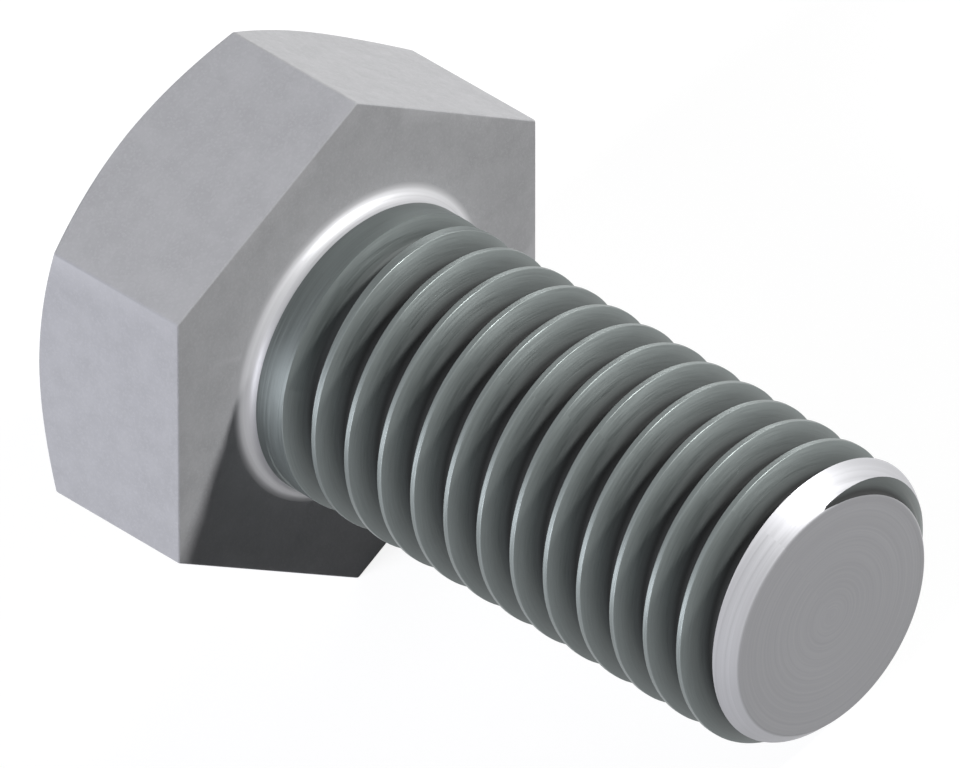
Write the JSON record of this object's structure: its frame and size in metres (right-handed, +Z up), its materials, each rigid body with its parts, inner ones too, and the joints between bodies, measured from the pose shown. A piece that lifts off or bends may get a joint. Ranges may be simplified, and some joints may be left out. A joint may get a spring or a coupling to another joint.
{
  "type": "hex head screw",
  "caption": "Steel hex head screw lying on its side, threaded along its whole shank, with a chamfered point and a fillet under the head.",
  "frame": {"origin": "on the surface that the screw lies on, under the middle of its length and width", "axes": "+X runs along the screw from the head to the tip, which dips by 8.4 degrees; +Z is up, away from the surface; +Y goes across"},
  "size_m": [0.0342, 0.022, 0.0199],
  "materials": {
    "steel": "satin grey steel, smooth on the head and darker in the thread"
  },
  "bodies": {
    "root": {"hex_head_screw": "steel"}
  },
  "joints": []
}
